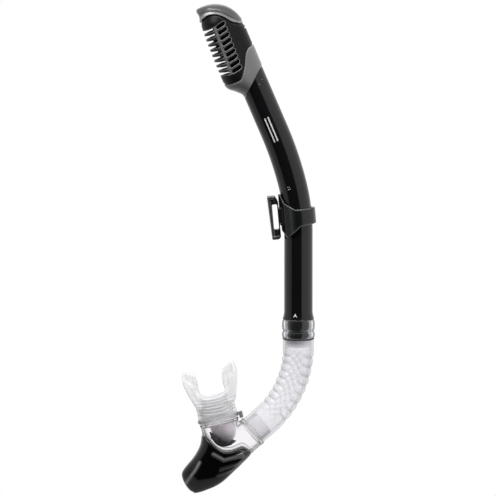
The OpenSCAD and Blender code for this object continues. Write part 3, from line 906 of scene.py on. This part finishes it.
def clip_painted_highlights(p):
    """Two painted highlight lines along the clip's outer bar."""
    x, y, z = p.T
    inside = outline_field(CLIP_OUTLINE, x, z)
    lines = np.exp(-((inside + 0.6) / 0.5) ** 2) + 0.7 * np.exp(-((inside + 2.6) / 0.5) ** 2)
    outer_bar = np.clip(lines, 0, 1) * smooth_step(-19, -21, x)
    return outer_bar * smooth_step(CLIP_HALF_T - 1.6, CLIP_HALF_T - 0.8, np.abs(y))


def rail_points():
    """T-shaped rail of the clip, in the band's groove."""
    half_h = 6
    profile = [(-17.2, -1.9), (-15.8, -1.9), (-15.8, -3.3), (-15.1, -3.3), (-15.1, 3.3), (-15.8, 3.3),
               (-15.8, 1.9), (-17.2, 1.9)]
    profile = rounded(profile, 0.2, 2)
    rings = [[(x, y, z) for x, y in profile] for z in (-half_h, half_h)]
    return skin(rings, caps=True)


def keeper():
    moulding("keeper_band_shell", band_field, (-18.5, -17.5, -22), (17.5, 17.5, 22), 0.6,
             KEEPER, "keeper", KEEPER_BLACK, ["keeper_band"], band_painted_highlights)
    moulding("strap_clip_frame", clip_field, (-28, -7, -22.5), (-15.5, 7, 21), 0.5,
             KEEPER, "clip", KEEPER_BLACK, ["strap_clip"], clip_painted_highlights)
    make_piece("strap_clip_rail", *rail_points(), KEEPER, "clip", KEEPER_BLACK)


# ---------------- swivel

COLLAR_R, COLLAR_WAIST, COLLAR_BORE = 15.1, 14.35, 12.05


def collar():
    """Smoke-grey collar of two convex rings, and the dark lip under it."""
    profile = [(COLLAR_BORE, -17.5), (COLLAR_BORE, -0.3), (14.0, -0.3), (14.5, -0.6)]
    for low, high in ((-10.1, -0.9), (-17.3, -11.5)):
        for share in np.linspace(0, 1, 12):
            bulge = math.sin(math.pi * share) ** 0.6
            profile.append((COLLAR_WAIST + (COLLAR_R - COLLAR_WAIST) * bulge, high + (low - high) * share))
        profile.append((14.1, low - 0.25))
    profile.append((14.0, -17.5))
    points, faces = revolve(profile)
    make_piece("swivel_collar_shell", points, faces, FOOT, "swivel", SMOKE, ["swivel_collar"], 60)
    lip = [(COLLAR_BORE, -18.9), (COLLAR_BORE, -17.6), (14.7, -17.6), (14.7, -18.2), (14.0, -18.9)]
    make_piece("collar_lip", *revolve(rounded(lip, 0.4)), FOOT, "swivel", RING_BLACK, ["collar_ring"], 60)


# ---------------- hose

HOSE_R, HOSE_BORE = 14.2, 12.1
RIB_PITCH = 7.8
RIB_DEPTH = 1.15
HOSE_LENGTH = HOSE_TOP - HOSE_BEND_TOP + HOSE_BEND_R * math.radians(HOSE_BEND) + HOSE_TAIL
OUTER_RINGS, INNER_RINGS = 190, 60
# Plain cuffs of the hose, at the collar and at the housing
TOP_CUFF, END_CUFF = 10, 16


def hose_frame(along):
    """Frame at a distance down the hose from its top; +Z points back up the hose."""
    straight = HOSE_TOP - HOSE_BEND_TOP
    arc = HOSE_BEND_R * math.radians(HOSE_BEND)
    if along <= straight:
        return shift(0, HOSE_TOP - along)
    angle = math.degrees(min(along - straight, arc) / HOSE_BEND_R)
    bend = shift(-HOSE_BEND_R, HOSE_BEND_TOP) @ lean(-angle) @ shift(HOSE_BEND_R, 0)
    return bend @ shift(0, -max(0, along - straight - arc))


def rib(along, turn):
    """Depth of the hose's grooves: they step by two pitches across the front, and back across the rear."""
    share = smooth_step(-0.62, 0.62, np.cos(turn))
    step = 2 * np.where(np.sin(turn) < 0, share, 1 - share)
    phase = along / RIB_PITCH - step
    groove = (1 - np.abs(np.sin(math.pi * phase))) ** 1.3
    fade = smooth_step(9, 15, along) * smooth_step(79, 72, along)
    return RIB_DEPTH * groove * fade


def hose(around=120):
    turn = turns(around)
    rings = []
    stations = np.linspace(0, HOSE_LENGTH, OUTER_RINGS)
    for along in stations:
        end = min(along, HOSE_LENGTH - along)
        radius = HOSE_R - rib(along, turn) - 0.5 * max(0, 1 - end / 0.5)
        rings.append(carry(circle_ring(radius, 0, around), hose_frame(along)))
    for along in np.linspace(HOSE_LENGTH, 0, INNER_RINGS):
        rings.append(carry(circle_ring(HOSE_BORE, 0, around), hose_frame(along)))
    points, faces = skin(rings, wrap=True)
    piece = make_piece("hose_ribbed", points, faces, FOOT, None, HOSE_CLEAR, ["hose"], 60)
    # Painted shade: the grooves' depth is stored as tone, which makes the clear wall denser and darker along
    # them.
    tones = [rib(along, turn) / RIB_DEPTH for along in stations] + [np.zeros(around)] * INNER_RINGS
    store_tones(piece, np.concatenate(tones))
    end = FOOT @ hose_frame(HOSE_LENGTH - END_CUFF) @ Vector()
    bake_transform(piece)


# ---------------- mouth unit

PORT_HALF_L, PORT_HALF_W = 17.6, 14.75
SOCKET_R, SOCKET_BORE = 14.75, 12.9
SOCKET_TOP = -HOSE_TAIL - 0.2
WALL = 1.8
# Wavy line where the clear housing ends and the black cover begins, from the barrel's foot
WAVE = curve_through([
    (-120, -107), (-95, -106.6), (-88.9, -107.5), (-83.7, -109.8), (-78, -116.1), (-72.3, -120.6),
    (-67.7, -122.3), (-60.9, -121.8), (-54.1, -118.9), (-50.6, -118.3), (-42.7, -123.5), (-30, -134),
])

foot_to_port = within(PORT, FOOT)
foot_to_hose = within(HOSE_END, FOOT)


def housing_field(p):
    x, y, z = p.T
    px, py, pz = foot_to_port(p)
    hx, hy, hz = foot_to_hose(p)
    over_wave = (read_line(WAVE, x) - z) * 0.8 + 0.1
    bead = 0.35 * smooth_step(-1.6, -0.9, over_wave)
    tube = meet(stadium(px, py, PORT_HALF_L, PORT_HALF_W) - bead, pz + 0.5, 0.6)
    rim = meet(stadium(px, py, PORT_HALF_L + 0.7, PORT_HALF_W + 0.7), between(pz, -1.9, -0.2), 0.5)
    neck = meet(stadium(px, py, 15.5, 12.6), between(pz, -3, 14), 0.5)
    socket = meet(np.hypot(hx, hy) - SOCKET_R - bead, between(hz, SOCKET_TOP - 24, SOCKET_TOP), 0.6)
    lip = meet(np.hypot(hx, hy) - SOCKET_R - 0.3, between(hz, SOCKET_TOP - 3, SOCKET_TOP), 0.5)
    spigot = meet(np.hypot(hx, hy) - 11.95, between(hz, SOCKET_TOP - 2, SOCKET_TOP + 12), 0.5)
    solid = join(join(tube, rim, 0.3), neck, 0.4)
    solid = join(solid, join(join(socket, lip, 0.4), spigot, 0.4), 1.6)
    solid = meet(solid, over_wave, 0.5)
    chamber = np.maximum(stadium(px, py, PORT_HALF_L - WALL, PORT_HALF_W - WALL), pz + 3)
    throat = np.maximum(stadium(px, py, 13.9, 11), between(pz, -5, 30))
    socket_room = np.maximum(np.hypot(hx, hy) - SOCKET_BORE, hz - SOCKET_TOP + 2)
    breath = np.maximum(np.hypot(hx, hy) - 10.4, between(hz, -40, 20))
    room = join(join(chamber, throat, 0.6), join(socket_room, breath, 0.6), 0.6)
    return cut(solid, room, 0.5)


def housing_tone(p):
    """Dark refraction lines along the housing's rims and seams."""
    x, y, z = p.T
    over_wave = z - read_line(WAVE, x)
    px, py, pz = foot_to_port(p)
    hx, hy, hz = foot_to_hose(p)
    near = [over_wave - 1.9, pz + 0.2, pz + 2.1, hz - SOCKET_TOP + 0.3, hz - SOCKET_TOP + 3.4]
    return 0.8 * sum(np.exp(-(d / 0.5) ** 2) for d in near)


COVER_LEFT = curve_through([
    (-88.9, -104), (-89.4, -111.5), (-91.1, -118.3), (-96.3, -127.5), (-103, -135.6), (-106.9, -141.5),
    (-106.9, -146.5), (-104.2, -152.8), (-100.2, -158), (-96.5, -160.3),
])
COVER_RIGHT = curve_through([
    (-42.6, -118), (-42.9, -124.2), (-49.5, -131.8), (-58.5, -140.6), (-68.9, -150.2), (-76.5, -155),
    (-83.7, -158), (-90, -160.2), (-95, -161.2),
])
COVER_HALF_W = 15.4
RIDGE_SPREAD = 1.7
# Ridges on the cover's sides, as lines of (x, z) from the barrel's foot, with their height
RIDGES = (
    (((-78, -123.5), (-68.2, -129), (-51, -124.8)), 1.3),
    (((-71, -137.8), (-52, -131.2)), 0.8),
    (((-73, -143.3), (-57.5, -137.4)), 0.8),
    (((-90.5, -131.5), (-94, -138), (-103.5, -151.5)), 1.0),
)


def ridge_height(x, z):
    rise = np.zeros(x.shape)
    for line, height in RIDGES:
        near = np.full(x.shape, FAR)
        for (x1, z1), (x2, z2) in zip(line, line[1:]):
            near = np.minimum(near, off_stretch(x, z, x1, z1, x2 - x1, z2 - z1))
        rise = np.maximum(rise, height * np.exp(-(near / RIDGE_SPREAD) ** 2))
    return rise


def cover_painted_highlights(p):
    """Painted highlights on the ridges' crests, more so towards the tip."""
    x, y, z = p.T
    lean_left = smooth_step(-86, -92, x)
    return ridge_height(x, z) ** 2 * (0.35 + 0.4 * lean_left)


def cover_field(p):
    x, y, z = p.T
    side = outline_field(list(COVER_LEFT[::4]) + list(COVER_RIGHT[::-4]), x, z)
    # The cover narrows from the housing to its tip
    along = smooth_step(-118, -165, z)
    width = COVER_HALF_W - 1.3 - 5.5 * along
    depth = np.clip(-side, 0, 16)
    crown = width * (1 - (1 - depth / 16) ** 2.4) ** 0.5
    reach = np.abs(y) - crown - ridge_height(x, z) * smooth_step(1, 5, depth)
    outer = meet(reach * 0.7, side, 1.5)
    under_wave = (z - read_line(WAVE, x)) * 0.8 + 0.1
    room = meet((np.abs(y) - crown + 1.8) * 0.7, side + 1.8, 1.0)
    shell = cut(outer, room, 0.4)
    return meet(shell, under_wave, 0.6)


CUP_TOP, CUP_DEEP, CUP_HALF_L, CUP_HALF_W = -2.4, 18.9, 11.4, 11.6
foot_to_purge = within(PURGE, FOOT)


def cup_field(p):
    """Grey bowl that hangs from the port, with a flat floor at the purge valve's seat."""
    x, y, z = foot_to_port(p)
    sx, sy, sz = foot_to_purge(p)
    drop = CUP_TOP - z
    share = np.sqrt(np.maximum(1 - np.clip(drop / CUP_DEEP, 0, 1) ** 2.6, 0.02))
    bowl = (np.hypot((x - 1.7 - 0.1 * drop) / CUP_HALF_L, y / CUP_HALF_W) - share) * CUP_HALF_W
    outer = meet(meet(bowl, -drop, 0.4), 0.1 - sz, 0.8)
    room = meet(bowl + 1.4, 1.5 - sz, 0.8)
    shell = cut(outer, room, 0.3)
    ports = np.hypot(np.abs(sx) - 5.7, sy) - 2.3
    return cut(shell, np.maximum(ports, sz - 3), 0.3)


def gasket(around=120):
    """Saddle-shaped black gasket under the bowl: its rim dips at both sides."""
    turn = turns(around)
    dip = np.sin(turn) ** 2
    top, base = 4.2 - 4.4 * dip, 3.2 - 7.4 * dip
    rings = []
    for radius, height in ((11.2, base), (12.5, base), (12.9, (top + base) / 2), (12.6, top), (11.2, top)):
        rings.append(circle_ring(radius, height, around))
    points, faces = skin(rings, wrap=True)
    make_piece("purge_gasket_saddle", points, faces, PURGE, "mouth_unit", RUBBER_BLACK, ["purge_gasket"], 40)


# Side of the flange against height, its upper face against distance from the middle, and half its depth
FLANGE_OUTER = curve_through([
    (0, 18), (13.5, 18.2), (22, 20), (30, 22.4), (38, 24.4), (44, 24.9), (50, 24.2), (60, 21),
])
FLANGE_INNER = curve_through([(0, 23.6), (6, 24), (10, 25.2), (13.6, 29), (15.6, 33), (18, 40), (40, 60)])
FLANGE_WIDTH = curve_through([(0, 12), (14, 14.5), (24, 15.8), (36, 15), (44, 12.5), (50, 9.5), (60, 7)])
# Outline of each bite tab with its web, as distance from the middle and height
TAB_OUTLINE = rounded([
    (13, 26), (9.4, 29.5), (9.0, 35), (11.6, 41), (12.4, 45.5), (16.5, 48.3), (21.5, 50.4), (24, 49.4),
    (24.6, 44), (22.4, 34), (19, 26),
], 2.2, 4)


MOUTH_X = 1.2
GROOVE_PITCH, GROOVE_FIRST = 2.9, 9.5
WING_T, TAB_HALF_T = 2.9, 5.2


def neck_waves(x, z):
    """Fine grooves across the neck that sag in the middle."""
    height = z - 0.009 * (x - MOUTH_X) ** 2
    off = (height - GROOVE_FIRST + GROOVE_PITCH / 2) % GROOVE_PITCH - GROOVE_PITCH / 2
    return np.exp(-off ** 2 / 0.25) * smooth_step(7, 9, z) * smooth_step(25, 22, z)


def mouthpiece_field(p):
    x, y, z = p.T
    across = np.abs(x - MOUTH_X)
    neck = meet(stadium(x, y, PORT_HALF_L + 0.5, PORT_HALF_W + 0.2), between(z, 0, 22), 0.8)
    neck = neck + 0.4 * neck_waves(x, z)
    # Flange: a U-shaped sheet that follows the teeth, narrower at its tips
    outer = read_line(FLANGE_OUTER, z)
    inner = read_line(FLANGE_INNER, across)
    half_w = read_line(FLANGE_WIDTH, z)
    dish = np.maximum((across - outer) * 0.95, (z - inner) * 0.75)
    dish = meet(dish, 15.5 - z, 2.0)
    flange = meet(dish, np.abs(y) - half_w, 2.5) + 0.3 * neck_waves(x, z)
    wing = meet(across - outer, outer - WING_T - across, 1.2)
    wing = meet(meet(wing, between(z, 20, 50.2), 1.3), np.abs(y) - half_w, 1.3)
    tab = meet(outline_field(TAB_OUTLINE, across, z), np.abs(y) - TAB_HALF_T + 0.12 * (across - 9), 2.5)
    solid = join(join(neck, flange, 2.0), wing, 1.5)
    solid = join(solid, tab, 1.2)
    room = join(np.maximum(stadium(x, y, 15.7, 12.8), z - 14.6), stadium(x, y, 12.3, 9.3), 0.8)
    return cut(solid, room, 0.8)


def mouthpiece_painted_groove_shade(p):
    # Painted shade: the neck's grooves, as darker and denser lines in the clear silicone.
    x, y, z = p.T
    return neck_waves(x, z)


def oval_ring(half_l, half_w, height, around=120):
    """Points round a stadium, evenly by angle."""
    t = turns(around)
    straight = half_l - half_w
    x = half_w * np.cos(t) + straight * np.clip(np.cos(t) * 6, -1, 1)
    return np.stack([x, half_w * np.sin(t), np.full(around, height)], -1)


def tie():
    """Cable tie round the mouthpiece's cuff: a band with rounded edges and its square lock."""
    low, high = 1.5, 4.3
    rings = []
    for grow, height in rounded([(0.62, low), (1.6, low), (1.6, high), (0.62, high)], 0.35, 3):
        rings.append(oval_ring(PORT_HALF_L + grow, PORT_HALF_W + grow - 0.3, height))
    points, faces = skin(rings, wrap=True)
    make_piece("mouthpiece_tie_band", points, faces, PORT, "mouth_unit", TIE_CLEAR, ["mouthpiece_tie"], 60)

    def lock_field(p):
        x, y, z = p.T
        block = meet(meet(between(x, 19.3, 22.8), np.abs(y) - 2.4, 0.8), between(z, -1.7, 4.5), 0.8)
        return cut(block, np.maximum(between(x, 20.6, 21.7), np.abs(y) - 1.5), 0.3)
    moulding("mouthpiece_tie_lock", lock_field, (18.6, -3.2, -2.6), (23.6, 3.2, 5.4), 0.3,
             PORT, "mouth_unit", LOCK_GREY, ["tie_lock"])


def mouth_unit():
    moulding("housing_moulding", housing_field, (-94, -16.5, -126), (-26, 16.5, -76), 0.7,
             FOOT, "mouth_unit", HOUSING_CLEAR, ["housing"], housing_tone)
    moulding("purge_cover_shell", cover_field, (-110, -17, -164), (-40, 17, -105), 0.6,
             FOOT, "mouth_unit", COVER_BLACK, ["purge_cover"], cover_painted_highlights)
    moulding("mouthpiece_bite", mouthpiece_field, (-26.5, -17.5, -1), (28.5, 17.5, 53), 0.7,
             PORT, "mouth_unit", MOUTH_CLEAR, ["mouthpiece"], mouthpiece_painted_groove_shade)
    moulding("purge_cup", cup_field, (-84, -13, -118), (-54, 13, -90), 0.6,
             FOOT, "mouth_unit", CHAMBER_GREY, ["purge_chamber"])
    gasket()
    tie()


# ---------------- marks, kept nodes

PRINT_RAISE, PRINT_DEPTH = 0.04, 0.2


def mark(name, corners, along, angle):
    """A flat print on the barrel's front, bent round it: corners in millimetres round and along."""
    top = []
    for across, up in corners:
        turn = across / BARREL_R - math.pi / 2 + math.radians(angle)
        radius = barrel_radius(along + up) + PRINT_RAISE
        point = [(radius * math.cos(turn), radius * math.sin(turn), 0)]
        top.append(carry(point, course_frame(along + up))[0])
    inner = [carry([(0, 0, 0)], course_frame(along + up))[0] for _, up in corners]
    base = [t + (i - t) / np.linalg.norm(i - t) * PRINT_DEPTH for t, i in zip(top, inner)]
    points, faces = skin([top, base], caps=True)
    make_piece(name, points, faces, FOOT, "barrel", PRINT_WHITE)


def marks():
    """White marks on the barrel: an index triangle, a tick at the cowl and two plain stripes, which are
    prints, and two small white dashes.
    """
    mark("index_mark", rounded([(-1.9, -1.6), (1.9, -1.6), (0, 2)], 0.4, 2), 4, -13)
    tick = rounded([(-2.7, -2.0), (-2.4, -1.1), (3, 2.0), (2.7, 1.1)], 0.2, 2)
    mark("cowl_tick", tick, HEAD_ALONG - 2.3, 30.5)
    for name, up in (("white_dash_1", -1.1), ("white_dash_2", 1.1)):
        dash = rounded([(-1.3, up - 0.3), (1.3, up - 0.3), (1.3, up + 0.3), (-1.3, up + 0.3)], 0.2, 2)
        mark(name, dash, 122.4, -17.8)
    for name, across in (("side_stripe_1", -1.6), ("side_stripe_2", 1.6)):
        low, high = across - 0.6, across + 0.6
        mark(name, rounded([(low, -12), (high, -12), (high, 12), (low, 12)], 0.5, 2), 179, -8)


NODE_LOOKS = {
    "head_base": INNER_BLACK, "head_o_ring": RUBBER_BLACK, "valve_seat": SEAL_GREY, "pivot_pin": STEEL,
    "float": FLOAT_GREY, "valve_lever": LEVER_GREY, "seal_disc": SEAL_GREY, "keeper_liner": RUBBER_BLACK,
    "swivel_spigot": SPIGOT_GREY, "swivel_o_ring": RUBBER_BLACK, "purge_diaphragm": RUBBER_BLACK,
}


def dress_nodes():
    """The CAD nodes that stay in view get their finished materials."""
    for name, material in NODE_LOOKS.items():
        node = frame["nodes"][name]
        node.data.materials.clear()
        node.data.materials.append(material)


# ---------------- stage, light, camera

def studio_level(tree, x, y):
    """Brightness of the studio by direction: white all round, but dark behind the camera."""
    turn = maths(tree, "ARCTAN2", x, maths(tree, "MULTIPLY", y, -1))
    share = maths(tree, "ADD", maths(tree, "DIVIDE", turn, 2 * math.pi), 0.5)
    stops = ((0.0, 1.0), (0.335, 0.42), (0.35, 0.01), (0.565, 0.01), (0.58, 0.75), (1.0, 1.0))
    return ramp(tree, share, stops)


def seen_white(tree, level):
    """The camera itself sees plain white."""
    return maths(tree, "MAXIMUM", level, tree.nodes.new("ShaderNodeLightPath").outputs["Is Camera Ray"])


def stage():
    """Pale sweep: a floor that curves up into a wall. It glows, so the object casts no shadow on it."""
    floor = cad_low.z - 0.012
    depth, rise, bend = 7.0, 9.0, 3.0
    line = [(-11.0, floor)]
    for angle in np.linspace(0, 90, 17):
        a = math.radians(angle)
        line.append((depth + bend * math.sin(a), floor + bend * (1 - math.cos(a))))
    line.append((depth + bend, rise))
    half = 11.0
    points = [(x, y, z) for y, z in line for x in (-half, half)]
    faces = [(2 * i, 2 * i + 1, 2 * i + 3, 2 * i + 2) for i in range(len(line) - 1)]
    mesh = bpy.data.meshes.new("sweep")
    mesh.from_pydata(points, [], faces)
    mesh.shade_smooth()
    material, tree, shader, output = new_material("sweep_white", "")
    tree.nodes.remove(shader)
    glow = tree.nodes.new("ShaderNodeEmission")
    place = tree.nodes.new("ShaderNodeTexCoord")
    axes = tree.nodes.new("ShaderNodeSeparateXYZ")
    tree.links.new(place.outputs["Object"], axes.inputs[0])
    level = studio_level(tree, axes.outputs["X"], axes.outputs["Y"])
    tree.links.new(seen_white(tree, level), glow.inputs["Strength"])
    tree.links.new(glow.outputs[0], output.inputs[0])
    mesh.materials.append(material)
    put("sweep", mesh)


def area_light(name, place, target, size_x, size_y, power):
    light = bpy.data.lights.new(name, "AREA")
    light.shape = "RECTANGLE"
    light.size, light.size_y = size_x, size_y
    light.energy = power
    lamp = put(name, light)
    lamp.location = place
    lamp.rotation_mode = "QUATERNION"
    lamp.rotation_quaternion = (Vector(target) - Vector(place)).to_track_quat("-Z", "Y")


def studio_world():
    world = bpy.data.worlds.new("studio")
    world.use_nodes = True
    tree = world.node_tree
    place = tree.nodes.new("ShaderNodeTexCoord")
    axes = tree.nodes.new("ShaderNodeSeparateXYZ")
    tree.links.new(place.outputs["Generated"], axes.inputs[0])
    sides = studio_level(tree, axes.outputs["X"], axes.outputs["Y"])
    above = ramp(tree, axes.outputs["Z"], ((0.5, 0), (0.75, 0.7)))
    level = maths(tree, "MAXIMUM", sides, above)
    tree.links.new(seen_white(tree, level), tree.nodes["Background"].inputs["Color"])
    bpy.context.scene.world = world


def lights():
    middle = (cad_low + cad_high) / 2
    area_light("softbox_key", (-0.5, -0.55, 1.25), middle + Vector((0, 0, 0.1)), 0.9, 0.6, 14)
    area_light("softbox_top", (0.25, -0.6, 1.2), middle, 0.9, 0.35, 9)
    studio_world()


def camera():
    """A very long lens from a little above, so that upright lines stay true."""
    distance, elevation, across = 6.0, math.radians(5), 0.4545
    aim_off = Vector((-0.0008, 0, 0.0017))
    middle = (cad_low + cad_high) / 2 + aim_off
    lens = bpy.data.cameras.new("camera")
    lens.sensor_width = 36
    lens.lens = lens.sensor_width * distance / across
    view = put("camera", lens)
    view.location = middle + distance * Vector((0, -math.cos(elevation), math.sin(elevation)))
    view.rotation_euler = (math.radians(90) - elevation, 0, 0)
    bpy.context.scene.camera = view


barrel()
head()
keeper()
collar()
hose()
mouth_unit()
marks()
dress_nodes()
stage()
lights()
camera()
bpy.context.scene.view_settings.view_transform = "Standard"
